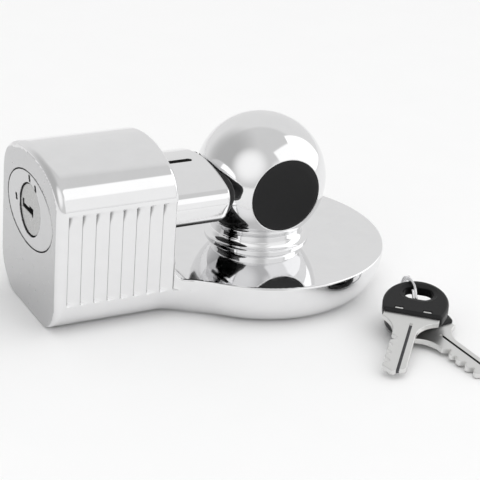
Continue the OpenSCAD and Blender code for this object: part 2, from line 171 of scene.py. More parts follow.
def arch(y, z, w, top, z0, crown, shoulder, corner):
    """Arched outline: flat bottom, round corners, upright sides, shoulders and a broad crown."""
    y = abs(y)
    cz = top - crown
    sy, sz = w - shoulder, cz + math.sqrt((crown - shoulder) ** 2 - (w - shoulder) ** 2)
    ky, kz = w - corner, z0 + corner
    low = np.where(y > ky, hypot(y - ky, z - kz) - corner, z0 - z)
    in_crown = y * (sz - cz) < (z - cz) * sy
    high = np.where(in_crown, hypot(y, z - cz) - crown, hypot(y - sy, z - sz) - shoulder)
    return np.where(z < kz, low, np.where(z > sz, high, y - w))


def body_arch(y, z):
    return arch(y, z, BODY_W, BODY_TOP, 0, CROWN_R, SHOULDER_R, CORNER_R)


def jaw_arch(y, z, play=0.0):
    """The jaw's outline, larger all round by the play."""
    side, top, bottom = JAW_HI[1] + play, JAW_HI[2] + play, JAW_LO[2] - play
    return arch(y, z, side, top, bottom, JAW_CROWN_R, JAW_SHOULDER_R, JAW_CORNER_R)


def jaw_core(y, z, play=0.0):
    """The jaw's hollow, smaller all round by the play."""
    inset = JAW_WALL + play
    return arch(y, z, JAW_HI[1] - inset, JAW_HI[2] - JAW_ROOF - play, JAW_LO[2] + inset, JAW_CROWN_R, 4, 1.5)


def ball_dish(x, y, z):
    return np.sqrt(x**2 + y**2 + (z - BALL_Z) ** 2) - DISH_R


def fluted_sides(x, y, z):
    """The saw-toothed side: steep steps that face +X, and slopes that run back out to the side's plane."""
    ramp = 1.6
    depth = FLUTE_DEPTH * np.sqrt(np.clip(least(FLUTE_Z[1] - z, z - FLUTE_Z[0]) / ramp, 0, 1))
    y = abs(y) - BODY_W
    past = x - FLUTE_START_X
    u = np.mod(past, FLUTE_PITCH)
    slant = np.sqrt(FLUTE_PITCH**2 + depth**2)
    slope = (y * FLUTE_PITCH + depth * (FLUTE_PITCH - u)) / slant
    slope_before = (y * FLUTE_PITCH - depth * u) / slant
    before = np.where(past < FLUTE_PITCH, y, slope_before)
    peak = 0.12
    teeth = least(cut(u - FLUTE_PITCH, slope, peak), cut(u, before, peak))
    first = np.where(x > FLUTE_START_X, teeth, cut(past, y, peak))
    return np.where(x > FLUTE_START_X - 2, least(first, y + depth), y)


def recess_outline(y, z):
    return ellipse(y, z - LOCK_Z, OVAL_A + OVAL_GAP, OVAL_B + OVAL_GAP)


def base_casting(x, y, z):
    """Foot plate and fluted lock body, hollowed for the housing, the jaw, the bolt and the cover."""
    r = hypot(x, y)
    lean = PLATE_R - PLATE_FOOT_R
    rim = np.where(r > PLATE_FOOT_R, ellipse(r - PLATE_FOOT_R, PLATE_EDGE_Z - z, lean, PLATE_EDGE_Z), -z)
    plate = most(np.where(z > PLATE_EDGE_Z, r - PLATE_R, rim), z - PLATE_T - PLATE_EDGE_R)
    prism = most(body_arch(y, z), fluted_sides(x, y, z))
    waist = most(join(plate, most(prism, x - BODY_REACH_X), WAIST_R), -z)
    step = join(x - FRONT_X, z - PLATE_T, STEP_R)
    # the front edge is softer above the plate, and the key end's edge is sharper at the bottom and towards +Y
    front_r = PLATE_EDGE_R + 0.9 * np.clip((z - 20) / 6, 0, 1)
    end_r = 1.0 + 2.0 * np.clip((z - 2) / 10, 0, 1) * np.clip((23 - y) / 8, 0.1, 1)
    body = cut(cut(waist, step, front_r), KEY_END_X - x, end_r)

    recess = most(recess_outline(y, z), x - HOUSING_X1)
    jaw_way = most(most(jaw_arch(y, z, 0.3), HOUSING_X1 - x), x - FRONT_X - 3)
    well = block(x, y, z, (HOUSING_X1, WELL_X1), (-WELL_Y, WELL_Y), (COVER_POCKET_Z, WELL_TOP))
    channel = block(x, y, z, (CHANNEL_X0, WELL_X1), (-CHANNEL_Y, CHANNEL_Y), (COVER_POCKET_Z, CHANNEL_TOP))
    pocket = block(x, y, z, COVER_POCKET_X, (-COVER_POCKET_Y, COVER_POCKET_Y), (-4, COVER_POCKET_Z))
    hollows = least(least(jaw_way, least(well, channel)), pocket)
    return cut(cut(body, -recess, 0.2), -hollows, 0.15)


def low_down(z):
    """0 on the jaw's upper half, growing to 1 near its bottom corners."""
    return np.clip((44 - z) / 8, 0, 1)


def sliding_jaw(x, y, z):
    """Hollow shell with a slot in its top, and a front that the ball's dish cuts away."""
    shell = cut(jaw_arch(y, z), x - JAW_HI[0], 0.8 + 4.0 * low_down(z))
    shell = cut(shell, JAW_LO[0] - x, 0.4)
    mouth = most(jaw_arch(y, z) + MOUTH_WALL, BUMPER_X[0] + MOUTH_WALL - x)
    shell = cut(shell, -least(most(jaw_core(y, z), JAW_HOLLOW_X0 - x), mouth), 0.2)
    slot = most(hypot(most(x - SLOT_X[1] + SLOT_R, 0), y) - SLOT_R, most(SLOT_FLOOR - z, SLOT_X[0] - x))
    shell = cut(shell, -slot, 0.15)
    return cut(shell, -ball_dish(x, y, z), 0.3)


def jaw_end_cap(x, y, z):
    """Black cap that fills the jaw's mouth and follows the ball."""
    plug = most(jaw_core(y, z, 0.05), BUMPER_X[0] - x)
    lid = most(jaw_arch(y, z) + LID_WALL, BUMPER_X[0] + LID_WALL - x)
    low = low_down(z)
    slab = cut(least(plug, lid), x - BUMPER_X[1] + 2 * low, 1.2 + 3.5 * low)
    return cut(slab, -ball_dish(x, y, z) - 0.5, 0.3)


def ball_plug(x, y, z):
    """Cup that closes the ball's core: rounded rim, and a face dished a little towards its middle."""
    r = hypot(x, z - BALL_Z)
    sag = 0.35 * np.clip(1 - (r / (CORE_R - 2.2)) ** 2, 0, 1)
    disc = cut(r - CORE_R + 0.05, FLAT_Y + 0.05 + sag - y, 0.45)
    return cut(cut(disc, y - FLAT_Y - 8, 0.3), -most(r - CORE_R + 1.6, FLAT_Y + 2.2 - y), 0.3)


def bar(u, v, us, vs, r=0.15):
    """Rectangle between the given pairs of limits, with rounded corners."""
    a = abs(u - (us[0] + us[1]) / 2) - (us[1] - us[0]) / 2 + r
    b = abs(v - (vs[0] + vs[1]) / 2) - (vs[1] - vs[0]) / 2 + r
    return hypot(most(a, 0), most(b, 0)) + least(most(a, b), 0) - r


def keyway(y, z):
    """A long level run that opens near the plug's far edge; wards widen and step it at both ends."""
    z = z - LOCK_Z
    run = bar(y, z, (-2.0, 7.6), (-1.65, 0.1))
    wards = least(bar(y, z, (5.9, 7.6), (-1.6, 1.6)), bar(y, z, (-2.3, 1.6), (-1.5, 0.9)))
    return least(least(run, wards), bar(y, z, (-2.3, -1.1), (-2.2, 0)))


def lock_housing(x, y, z):
    """Oval plate with a round seat for the plug, a bore behind it and index marks round it."""
    oval = ellipse(y, z - LOCK_Z, OVAL_A - 0.12, OVAL_B - 0.12)
    shell = cut(cut(oval, KEY_END_X - x, 0.25), x - HOUSING_X1, 0.2)
    seat = most(hypot(y, z - LOCK_Z) - PLUG_R - 0.42, x - (PLUG_HI[0] - 4.5))
    shell = cut(shell, -seat, 0.25)
    shell = most(shell, 4.1 - hypot(y, z - LOCK_Z))
    for my, mz in INDEX_MARKS:
        shell = cut(shell, -index_dimple(x, y, z, my, mz), 0.05)
    return shell


def index_dimple(x, y, z, my, mz):
    """A slanted dash, 1 mm long, sunk into the housing's face."""
    along = np.clip(z - LOCK_Z - mz, -0.5, 0.5)
    aside = y - my - 0.45 * along
    above = z - LOCK_Z - mz - along
    return np.sqrt((x - KEY_END_X + 0.1) ** 2 + aside**2 + above**2) - 0.72


def lock_plug(x, y, z):
    """Round core with the keyway in its face, and a thin tail that carries the cam."""
    r = hypot(y, z - LOCK_Z)
    core = cut(cut(r - PLUG_R, PLUG_LO[0] - x, 0.35), x - PLUG_CORE_X1, 0.2)
    tail = cut(most(r - 4, -72 - x), x - PLUG_HI[0], 0.2)
    plug = least(core, tail)
    return cut(plug, -most(keyway(y, z), x - KEYWAY_X1), 0.12)


def bottom_cover(x, y, z):
    """Flat plate with four counterbored screw holes."""
    lo, hi = box_mm("bottom_cover")
    plate = block(x, y, z, (lo[0], hi[0]), (lo[1], hi[1]), (lo[2], hi[2]), 0.3)
    for sx, sy in COVER_SCREWS:
        r = hypot(x - sx, y - sy)
        plate = cut(plate, -least(r - 1.6, cut(r - 2.95, z - 1.9, 0.1)), 0.12)
    return plate


def ring_hole(x, y):
    """Long round-ended hole for the split ring."""
    long, wide = HOLE[0] / 2, HOLE[1] / 2
    return hypot(x, most(abs(y - HEAD_Y) - wide + long, 0)) - long


def key_head(x, y, z):
    """Moulded oval head, straight towards the blade, with a recess round the ring hole and two windows."""
    half, v = HEAD_W / 2, y - HEAD_Y
    back = ellipse(x - HEAD_MID_X, v, HEAD_BACK + HEAD_MID_X, half)
    oval = np.where(x < HEAD_MID_X, back, ellipse(x - HEAD_MID_X, v, HEAD_FRONT, half))
    outline = cut(oval, x - HEAD_FLAT_X, 0.9)
    head = cut(outline, abs(z) - HEAD_T / 2, 1.15)
    hole = ring_hole(x, y)
    recess = most(hole - 1.4, HEAD_T / 2 - 0.45 - abs(z) + 0.25 * most(hole, 0))
    head = cut(head, -recess, 0.2)
    head = cut(head, -hole, 0.35)
    window = most(bar(x, abs(v), *WINDOW, 0.3), BLADE_T / 2 + 0.02 - abs(z))
    head = cut(head, -window, 0.12)
    metal = most(most(BOW[0][0] - x, abs(v) - BOW[1]), abs(z) - BLADE_T / 2)
    return most(head, -metal)


def key_blade(x, y, z):
    """Blade with hollow shoulders, four cuts along its -Y edge and a milled groove on both faces."""
    half = BLADE_W / 2
    hollow = SHOULDER_SWEEP - hypot(x - NECK_X, abs(y) - half - SHOULDER_SWEEP)
    wide = most(SHOULDER_Y[0] - y, y - SHOULDER_Y[1])
    tongue = most(abs(y - HEAD_Y) - BOW[1], BOW[0][0] - x)
    outline = np.where(x < NECK_X, most(hollow, wide), abs(y) - half)
    outline = np.where(x < NECK_X - SHOULDER_SWEEP, wide, outline)
    outline = np.where(x < HEAD_FLAT_X + 0.05, tongue, outline)
    tip = ((x - KEY_REACH) * half + abs(y + 0.2) * 2.2) / math.hypot(half, 2.2)
    outline = cut(outline, tip, 0.5)
    for place, depth in CUTS:
        flank = (abs(x - place) - 0.35 + 0.62 * (y + half - depth)) * 0.85
        outline = cut(outline, -most(flank, y + half - depth), 0.15)
    blade = cut(outline, abs(z) - BLADE_T / 2, 0.22)
    pads = cut(bar(x, abs(y - HEAD_Y), *PAD, 0.2), abs(z) - HEAD_T / 2 + 0.1, 0.2)
    blade = least(blade, pads)
    groove = most(most(abs(y - GROOVE_Y) - GROOVE_HALF, BLADE_T / 2 - 0.5 - abs(z)), GROOVE_X0 - x)
    return cut(blade, -groove, 0.08)


# ---- dual contouring --------------------------------------------------------


def gradient(field, p, eps=0.02):
    """Unit gradient of the field at points p."""
    g = np.empty_like(p)
    for k in range(3):
        d = np.zeros(3)
        d[k] = eps
        a, b = p + d, p - d
        g[:, k] = field(a[:, 0], a[:, 1], a[:, 2]) - field(b[:, 0], b[:, 1], b[:, 2])
    return g / most(np.linalg.norm(g, axis=1, keepdims=True), 1e-9)


def graded(lo, hi, step, zone=None, fine=None):
    """Grid lines from below lo to above hi, step apart, and fine apart inside the zone.

    They start an odd way below lo, so that no flat face of the shape lies along a grid line.
    """
    lines = [lo - 1.37 * step]
    while lines[-1] < hi + 1.5 * step:
        if zone is None:
            lines.append(lines[-1] + step)
            continue
        off = max(zone[0] - lines[-1], lines[-1] - zone[1], 0)
        lines.append(lines[-1] + min(step, fine + 0.12 * off))
    return np.array(lines)


def sample(field, lines):
    """The field's value at every point of the grid, a few layers at a time to save memory."""
    xs, ys, zs = lines
    value = np.empty((len(xs), len(ys), len(zs)))
    for i in range(0, len(xs), 16):
        part = np.broadcast_arrays(xs[i : i + 16, None, None], ys[None, :, None], zs[None, None, :])
        value[i : i + 16] = field(*part)
    return value


def settle(field, start, k, span, a, b):
    """Points where the field changes sign on edges along axis k: a and b are its values at their ends."""
    t0, t1 = np.zeros(len(start)), np.ones(len(start))
    for _ in range(3):
        t = t0 + (t1 - t0) * np.clip(a / (a - b), 0.05, 0.95)
        p = start.copy()
        p[:, k] += span * t
        v = field(p[:, 0], p[:, 1], p[:, 2])
        same = (v < 0) == (a < 0)
        t0, a = np.where(same, t, t0), np.where(same, v, a)
        t1, b = np.where(same, t1, t), np.where(same, b, v)
    p = start.copy()
    p[:, k] += span * (t0 + (t1 - t0) * np.clip(a / (a - b), 0, 1))
    return p


def crossings(field, lines, strides):
    """Grid edges that the surface crosses: points, whether the edge starts inside, and its four cells."""
    value = sample(field, lines)
    inside = value < 0
    points, signs, cells = [], [], []
    for k in range(3):
        head = [slice(None)] * 3
        tail = [slice(None)] * 3
        head[k], tail[k] = slice(0, -1), slice(1, None)
        at = np.argwhere(inside[tuple(head)] != inside[tuple(tail)])
        for other in range(3):
            if other != k:
                at = at[(at[:, other] > 0) & (at[:, other] < len(lines[other]) - 1)]
        flat = at @ strides
        start = np.stack([lines[c][at[:, c]] for c in range(3)], 1)
        span = lines[k][at[:, k] + 1] - start[:, k]
        ends = value.ravel()[flat], value.ravel()[flat + strides[k]]
        points.append(settle(field, start, k, span, *ends))
        signs.append(inside.ravel()[flat])
        u, w = strides[(k + 1) % 3], strides[(k + 2) % 3]
        cells.append(np.stack([flat - u - w, flat - w, flat, flat - u], 1))
    return np.concatenate(points), np.concatenate(signs), np.concatenate(cells)


def corner_normals(field, vertex, quads):
    """Normals at the quads' corners: the vertex's own, or at a sharp edge the one just inside the quad."""
    centre = vertex[quads].mean(1)
    at_vertex = gradient(field, vertex)[quads.ravel()]
    corners = vertex[quads.ravel()]
    near = gradient(field, corners + 0.35 * (np.repeat(centre, 4, 0) - corners))
    alike = np.einsum("ij,ij->i", at_vertex, near) > math.cos(math.radians(20))
    return np.where(alike[:, None], at_vertex, near)


def contour(field, lines):
    """Vertices, quads and corner normals of the field's zero surface over a grid of lines in X, Y and Z.

    A cell's vertex is the point that lies best on the planes through its crossings, kept near the cell.
    """
    n = [len(c) for c in lines]
    strides = np.array([n[1] * n[2], n[2], 1])
    p, sign, cell = crossings(field, lines, strides)
    normal = gradient(field, p)
    ids, index = np.unique(cell.ravel(), return_inverse=True)
    index = index.reshape(-1)
    four_p, four_n = np.repeat(p, 4, 0), np.repeat(normal, 4, 0)

    def total(v):
        return np.bincount(index, v, len(ids))

    count = total(np.ones(len(index)))
    mean = np.stack([total(four_p[:, k]) / count for k in range(3)], 1)
    reach = np.einsum("ij,ij->i", four_n, four_p - mean[index])
    matrix = np.empty((len(ids), 3, 3))
    side = np.empty((len(ids), 3, 1))
    for r in range(3):
        side[:, r, 0] = total(four_n[:, r] * reach)
        for c in range(3):
            matrix[:, r, c] = total(four_n[:, r] * four_n[:, c])
    matrix += 0.06 * np.eye(3)  # where the crossings lie in one plane, this keeps the vertex at their mean
    move = np.linalg.solve(matrix, side)[:, :, 0]
    cell_at = (ids // strides[0], ids // strides[1] % n[1], ids % n[2])
    low = np.stack([lines[c][cell_at[c]] for c in range(3)], 1)
    size = np.stack([lines[c][cell_at[c] + 1] for c in range(3)], 1) - low
    vertex = np.clip(mean + move, low - 0.1 * size, low + 1.1 * size)
    quads = index.reshape(-1, 4)
    quads = np.where(sign[:, None], quads, quads[:, ::-1])
    return vertex, quads, corner_normals(field, vertex, quads)


def mesh_object(name, vertex, faces, normals=None):
    """A mesh object from points in millimetres, faces of one size and, where given, face corner normals."""
    faces = np.asarray(faces)
    mesh = bpy.data.meshes.new(name)
    mesh.vertices.add(len(vertex))
    mesh.vertices.foreach_set("co", (np.asarray(vertex) * MM).astype(np.float32).ravel())
    mesh.loops.add(faces.size)
    mesh.loops.foreach_set("vertex_index", faces.astype(np.int32).ravel())
    mesh.polygons.add(len(faces))
    mesh.polygons.foreach_set("loop_start", np.arange(0, faces.size, faces.shape[1], dtype=np.int32))
    mesh.update(calc_edges=True)
    mesh.validate()
    mesh.polygons.foreach_set("use_smooth", np.ones(len(mesh.polygons), bool))
    if normals is not None and len(mesh.loops) == len(normals):
        mesh.normals_split_custom_set(normals.tolist())
    obj = bpy.data.objects.new(name, mesh)
    bpy.context.scene.collection.objects.link(obj)
    return obj


def field_object(name, field, lo, hi, step, zones=(None, None, None), fine=None):
    """A mesh object of the field's surface between two corners, with finer steps inside each axis's zone."""
    lines = [graded(lo[k], hi[k], step, zones[k], fine) for k in range(3)]
    return mesh_object(name, *contour(field, lines))


# ---- materials --------------------------------------------------------------


def math_node(tree, op, *values):
    """A Math node fed with numbers or sockets."""
    node = tree.nodes.new("ShaderNodeMath")
    node.operation = op
    for socket, v in zip(node.inputs, values):
        if isinstance(v, (int, float)):
            socket.default_value = v
        else:
            tree.links.new(v, socket)
    return node.outputs[0]


def fade(tree, value, at_0, at_1):
    """0 where the value is at_0, 1 where it is at_1, and smooth between them."""
    ramp = tree.nodes.new("ShaderNodeMapRange")
    ramp.interpolation_type = "SMOOTHSTEP"
    if at_0 < at_1:
        limits = (at_0, at_1, 0, 1)
    else:
        limits = (at_1, at_0, 1, 0)
    for name, v in zip(("From Min", "From Max", "To Min", "To Max"), limits):
        ramp.inputs[name].default_value = v
    tree.links.new(value, ramp.inputs["Value"])
    return ramp.outputs["Result"]


def place_mm(tree):
    """X, Y and Z of the object's own space, in millimetres."""
    split = tree.nodes.new("ShaderNodeSeparateXYZ")
    tree.links.new(tree.nodes.new("ShaderNodeTexCoord").outputs["Object"], split.inputs[0])
    return [math_node(tree, "MULTIPLY", split.outputs[k], 1 / MM) for k in range(3)]


def overlay(mat, mask, colour, roughness):
    """Lays a second colour and roughness over a finish where the mask is 1."""
    tree = mat.node_tree
    bsdf = tree.nodes["Principled BSDF"]
    for name, kind, socket_type, value in (("Base Color", "RGBA", "RGBA", (*colour, 1)),
                                           ("Roughness", "FLOAT", "VALUE", roughness)):
        before = bsdf.inputs[name].links[0].from_socket
        mix = tree.nodes.new("ShaderNodeMix")
        mix.data_type = kind
        a, b = [socket for socket in mix.inputs if socket.type == socket_type][-2:]
        tree.links.new(mask, mix.inputs["Factor"])
        tree.links.new(before, a)
        b.default_value = value
        result = [socket for socket in mix.outputs if socket.type == socket_type][0]
        tree.links.new(result, bsdf.inputs[name])
    return mat


def finish_of(name, colour, metallic, roughness, spread, grain, bump=(), tint=0.03):
    """A surface finish: a base colour mottled by tint, roughness that varies by spread, and fine bump layers.

    grain is the noise's scale per metre. bump lists the layers: scale per metre in X, Y and Z, and depth in
    metres.
    """
    mat = bpy.data.materials.new(name)
    mat.use_nodes = True
    nodes, links = mat.node_tree.nodes, mat.node_tree.links
    bsdf = nodes["Principled BSDF"]
    bsdf.inputs["Metallic"].default_value = metallic
    place = nodes.new("ShaderNodeTexCoord")

    def noise(scale, detail):
        stretch = nodes.new("ShaderNodeMapping")
        stretch.inputs["Scale"].default_value = scale if hasattr(scale, "__len__") else (scale,) * 3
        links.new(place.outputs["Object"], stretch.inputs["Vector"])
        tex = nodes.new("ShaderNodeTexNoise")
        tex.inputs["Scale"].default_value = 1.0
        tex.inputs["Detail"].default_value = detail
        links.new(stretch.outputs["Vector"], tex.inputs["Vector"])
        return tex.outputs["Fac"]

    def between(fac, low, high):
        ramp = nodes.new("ShaderNodeMapRange")
        ramp.inputs["From Min"].default_value, ramp.inputs["From Max"].default_value = 0.3, 0.7
        ramp.inputs["To Min"].default_value, ramp.inputs["To Max"].default_value = low, high
        links.new(fac, ramp.inputs["Value"])
        return ramp.outputs["Result"]

    mottle = noise(grain, 5)
    mix = nodes.new("ShaderNodeMix")
    mix.data_type = "RGBA"
    mix.inputs["A"].default_value = (*[c * (1 - tint) for c in colour], 1)
    mix.inputs["B"].default_value = (*[min(1, c * (1 + tint)) for c in colour], 1)
    links.new(mottle, mix.inputs["Factor"])
    links.new(mix.outputs["Result"], bsdf.inputs["Base Color"])
    rough = between(noise(grain * 1.7, 4), max(0.0, roughness - spread), roughness + spread)
    links.new(rough, bsdf.inputs["Roughness"])
    last = None
    for scale, depth in bump:
        node = nodes.new("ShaderNodeBump")
        node.inputs["Strength"].default_value = 1.0
        node.inputs["Distance"].default_value = depth
        links.new(noise(scale, 2), node.inputs["Height"])
        if last is not None:
            links.new(last, node.inputs["Normal"])
        last = node.outputs["Normal"]
    if last is not None:
        links.new(last, bsdf.inputs["Normal"])
    return mat


def chrome_finish(name):
    """Polished chrome: slow ripples, and hair-fine lines along X."""
    return finish_of(name, (0.83, 0.83, 0.835), 1, 0.05, 0.02, 160,
                     [((90, 90, 90), 0.000006), ((2500, 300, 300), 0.000001)])


chrome = chrome_finish("polished_chrome")
# the end face's satin finish: its darker colour than the chrome is painted shade
satin_end_with_shade = finish_of("end_face_shaded_satin", (0.58, 0.58, 0.585), 1, 0.24, 0.04, 300,
                      [((400, 2600, 900), 0.000002)])
chrome_lock = finish_of("lock_chrome", (0.62, 0.62, 0.625), 1, 0.22, 0.04, 300,
                        [((900, 900, 900), 0.000003)])


def chrome_with_flute_shade():
    """Chrome with painted shade in the flutes' inner corners: a dark, rougher band, widest at their upper
    ends.
    """
    mat = chrome_finish("chrome_with_flute_shade")
    tree = mat.node_tree
    x, y, z = place_mm(tree)
    start = FLUTE_START_X
    along = math_node(tree, "FLOORED_MODULO", math_node(tree, "SUBTRACT", x, start - 0.12), FLUTE_PITCH)
    spread = math_node(tree, "MULTIPLY_ADD", fade(tree, z, FLUTE_Z[1] - 5.5, FLUTE_Z[1] - 1), 1.5, 1.0)
    mask = fade(tree, math_node(tree, "DIVIDE", along, spread), 0.75, 0.2)
    for value, at_0, at_1 in ((z, FLUTE_Z[0] + 0.2, FLUTE_Z[0] + 1.2), (z, FLUTE_Z[1], FLUTE_Z[1] - 0.8),
                              (math_node(tree, "ABSOLUTE", y), BODY_W - 1.5, BODY_W - 1.2),
                              (x, start - 0.2, start),
                              (x, FRONT_X, FRONT_X - 0.3)):
        mask = math_node(tree, "MULTIPLY", mask, fade(tree, value, at_0, at_1))
    # the dark colour in the flutes' corners is painted shade
    return overlay(mat, math_node(tree, "MULTIPLY", mask, 0.85), (0.2, 0.2, 0.2), 0.4)


def jaw_chrome_with_underside_shade():
    """Chrome with painted shade on the underside: darker and rougher towards the bottom."""
    mat = chrome_finish("jaw_chrome_with_underside_shade")
    tree = mat.node_tree
    z = place_mm(tree)[2]
    # painted shade: the colour darkens towards the jaw's bottom
    return overlay(mat, fade(tree, z, JAW_LO[2] + 2.9, JAW_LO[2] + 1.9), (0.07, 0.07, 0.07), 0.35)


# painted shade: black laid in the gap round the housing, the jaw's slot, the plug's seat, the keyway and the
# sunk index dashes
painted_recess_shade = finish_of("recess_painted_shade", (0.02, 0.02, 0.02), 0, 0.6, 0.1, 900,
                [((2600, 2600, 2600), 0.00001)], tint=0.2)
satin = finish_of("satin_nickel", (0.5, 0.5, 0.495), 1, 0.3, 0.06, 600,
                  [((300, 4000, 4000), 0.000006)])
black = finish_of("black_plastic", (0.007, 0.007, 0.0075), 0, 0.38, 0.08, 900,
                  [((2600, 2600, 2600), 0.000008)], tint=0.2)
black.node_tree.nodes["Principled BSDF"].inputs["Specular IOR Level"].default_value = 0.28
brass = finish_of("turned_brass", (0.72, 0.52, 0.24), 1, 0.28, 0.08, 500,
                  [((5000, 400, 400), 0.000004)])
spring_wire = finish_of("spring_wire", (0.55, 0.55, 0.56), 1, 0.25, 0.05, 900)
zinc = finish_of("zinc_plate", (0.58, 0.59, 0.60), 1, 0.34, 0.1, 260,
                 [((700, 700, 700), 0.00001)], tint=0.08)
# black oxide for the dark steel parts, and painted shade in the key blades' grooves
oxide_and_groove_shade = finish_of("black_oxide_and_groove_shade", (0.09, 0.09, 0.095), 0.9, 0.38, 0.08, 500,
                  [((1800, 1800, 1800), 0.000008)], tint=0.15)
key_nickel = finish_of("key_nickel", (0.74, 0.74, 0.73), 1, 0.3, 0.03, 90,
                       [((120, 120, 120), 0.000004)])
ring_nickel = finish_of("ring_nickel", (0.74, 0.74, 0.75), 1, 0.14, 0.05, 800,
                        [((1500, 1500, 1500), 0.000004)])

BY_SLOT = {"chrome_casting": chrome, "chrome_lock": chrome_lock, "satin_nickel": satin,
           "black_plastic": black, "brass": brass, "spring_steel": spring_wire, "plain_steel": zinc,
           "dark_steel": oxide_and_groove_shade, "key_metal": key_nickel, "ring_steel": ring_nickel}
SLOT_OF = {s["node"]: s["material_slot"] for s in frame["record"]["subparts"]}
BODY_OF = {node: body for body, members in frame["record"]["behaviour"]["bodies"].items() for node in members}

for node, obj in frame["nodes"].items():
    obj.data.materials.clear()
    obj.data.materials.append(BY_SLOT[SLOT_OF[node]])


def dress(obj, node, material=None):
    """The piece stands for a CAD node: it takes the node's body, slot and finish."""
    slot = SLOT_OF[node]
    obj.data.materials.append(material or BY_SLOT[slot])
    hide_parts(node)
    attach(obj, BODY_OF[node])
    return obj


# ---- pieces -----------------------------------------------------------------

CASTING_STEP = 0.55


def second_finish(obj, material, where):
    """Gives the faces whose middles satisfy where(x, y, z), in millimetres, another finish."""
    obj.data.materials.append(material)
    index = np.empty(len(obj.data.polygons), np.int32)
    obj.data.polygons.foreach_get("material_index", index)
    middle = np.empty(3 * len(index))
    obj.data.polygons.foreach_get("center", middle)
    index[where(*(middle.reshape(-1, 3) / MM).T)] = len(obj.data.materials) - 1
    obj.data.polygons.foreach_set("material_index", index)


def place_key(obj, key):
    """Sets a key's piece down: +X along the blade, the ring hole's centre at the origin."""
    spot, heading, dip = key
    turn = Matrix.Rotation(math.radians(heading), 4, "Z") @ Matrix.Rotation(math.radians(dip), 4, "Y")
    obj.data.transform(Matrix.Translation(Vector(spot) * MM) @ turn)
    return obj


def lathe(name, profile, turn=lambda x, y, z: (x, y, z), lift=0.0, segments=240):
    """A solid turned about the Z axis, from a profile that starts and ends on the axis.

    Each point of the profile is a radius, a height and the angle of the surface's normal in degrees. Two
    points in one place make a sharp edge.
    """
    angles = [2 * math.pi * k / segments for k in range(segments)]
    rings = profile[1:-1]
    points = [turn(r * math.cos(a), r * math.sin(a), z) for r, z, _ in rings for a in angles]
    points += [turn(0, 0, profile[0][1]), turn(0, 0, profile[-1][1])]
    points = np.array(points) + (0, 0, lift)
    faces, normals = [], []
    for i in range(len(rings) - 1):
        if math.dist(rings[i][:2], rings[i + 1][:2]) < 1e-6:
            continue
        for k in range(segments):
            m = (k + 1) % segments
            faces.append((i * segments + k, i * segments + m, (i + 1) * segments + m, (i + 1) * segments + k))
            for row, col in ((i, k), (i, m), (i + 1, m), (i + 1, k)):
                tilt, a = math.radians(rings[row][2]), angles[col]
                out = math.cos(tilt)
                normals.append(turn(out * math.cos(a), out * math.sin(a), math.sin(tilt)))
    last = (len(rings) - 1) * segments
    for k in range(0, segments, 2):
        faces.append((len(points) - 2, (k + 2) % segments, k + 1, k))
        faces.append((last + k, last + k + 1, last + (k + 2) % segments, len(points) - 1))
        normals += [turn(0, 0, math.sin(math.radians(profile[0][2])))] * 4
        normals += [turn(0, 0, math.sin(math.radians(profile[-1][2])))] * 4
    return mesh_object(name, points, faces, np.array(normals))


def bend(r, z, radius, first, last, inward, n):
    """An arc of a profile, in n steps between two angles in degrees; an inward arc is a hollow one."""
    for k in range(n + 1):
        angle = first + (last - first) * k / n
        a = math.radians(angle)
        yield r + radius * math.cos(a), z + radius * math.sin(a), angle + 180 if inward else angle


def neck_profile():
    """Outline from inside the plate, round the foot ring, up the flare and the neck, to inside the ball."""
    flare = NECK_FOOT_R - NECK_R
    foot_z, edge, blend = PLATE_T + FOOT_STEP, 0.25, 0.8
    flare_z = foot_z + flare
    out = [(0, PLATE_T - 2, -90), (NECK_FOOT_R, PLATE_T - 2, -90), (NECK_FOOT_R, PLATE_T - 2, 0)]
    out += bend(NECK_FOOT_R - edge, foot_z - edge, edge, 0, 68, False, 5)
    out += bend(NECK_FOOT_R, flare_z, flare, 262, 180, True, 24)
    centre_z = BALL_Z - math.sqrt((BALL_R + blend) ** 2 - (NECK_R + blend) ** 2)
    touch = 180 - math.degrees(math.atan2(BALL_Z - centre_z, NECK_R + blend))
    out += bend(NECK_R + blend, centre_z, blend, 180, touch, True, 8)
    last = out[-1]
    return out + [(last[0] - 2, last[1] + 1, last[2]), (last[0] - 2, last[1] + 1, 90), (0, last[1] + 1, 90)]


def ball_profile():
    """Outline of the ball from its far pole to the flat, over the flat's rounded rim, and into the core."""
    flat, edge, core_floor = -FLAT_Y, 0.3, -FLAT_Y - 16
    rim_r = math.sqrt((BALL_R - edge) ** 2 - (flat - edge) ** 2)
    rim = math.degrees(math.atan2(flat - edge, rim_r))
    out = [(0, -BALL_R, -90)] + list(bend(0, 0, BALL_R, -88.8, rim, False, 150))
    out += bend(rim_r, flat - edge, edge, rim, 90, False, 6)
    out += bend(CORE_R + 0.12, flat - 0.12, 0.12, 90, 180, False, 4)
    return out + [(CORE_R, core_floor, 180), (CORE_R, core_floor, 90), (0, core_floor, 90)]


def join_into(target, extra):
    """Adds a second mesh, with its normals, to a piece."""
    with bpy.context.temp_override(active_object=target, selected_editable_objects=[target, extra]):
        bpy.ops.object.join()


def on_end_face(x, y, z):
    return x < KEY_END_X + 0.12


def in_recess(x, y, z):
    within = (x > KEY_END_X + 0.25) & (x < HOUSING_X1) & (z > LOCK_Z - OVAL_B - 1)
    return within & (recess_outline(y, z) < 0.1)


def in_slot(x, y, z):
    over_slot = (abs(y) < SLOT_R + 0.1) & (x < SLOT_X[1] + 0.1) & (x > SLOT_X[0])
    return over_slot & (z > SLOT_FLOOR - 0.2) & (z < JAW_HI[2] - 0.3)


def in_marks(x, y, z):
    return least.reduce([index_dimple(x, y, z, *mark) for mark in INDEX_MARKS]) < 0.15


